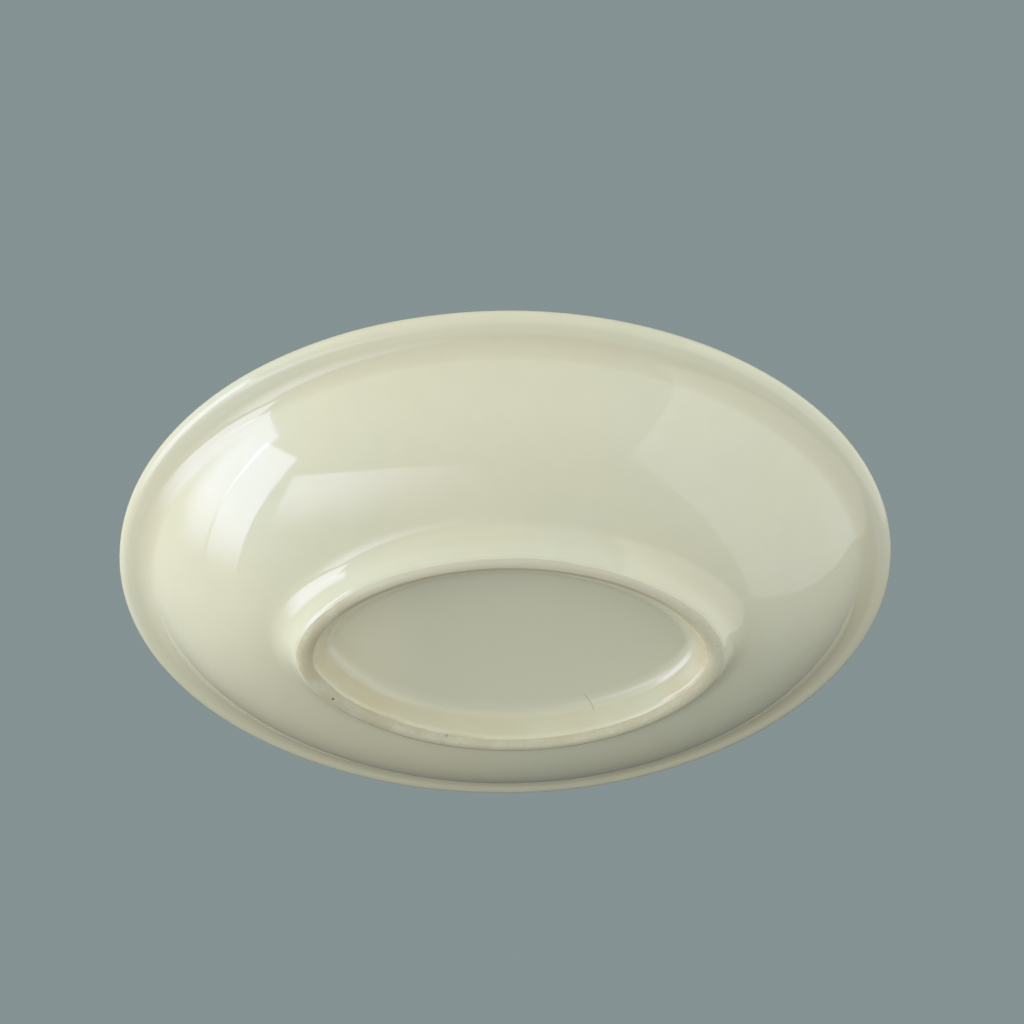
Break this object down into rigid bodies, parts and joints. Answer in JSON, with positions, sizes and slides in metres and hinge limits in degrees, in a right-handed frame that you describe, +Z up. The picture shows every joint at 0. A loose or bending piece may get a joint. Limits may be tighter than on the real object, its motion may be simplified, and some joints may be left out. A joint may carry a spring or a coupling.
{
  "type": "soap dish",
  "caption": "Oval glazed earthenware soap dish: deep well, rounded lip over a shallow groove, full belly and a dry oval foot ring round a sunk glazed base.",
  "frame": {"origin": "middle of the foot ring's dry face, on the surface that the dish stands on", "axes": "+X along the dish, +Y across it, +Z up out of the well"},
  "size_m": [0.165, 0.1246, 0.0383],
  "materials": {
    "biscuit": "dry unglazed earthenware",
    "cream_glaze": "glossy cream glaze"
  },
  "bodies": {
    "root": {"earthenware_body": "biscuit", "glaze_coat": "cream_glaze", "base_glaze": "cream_glaze"}
  },
  "joints": []
}
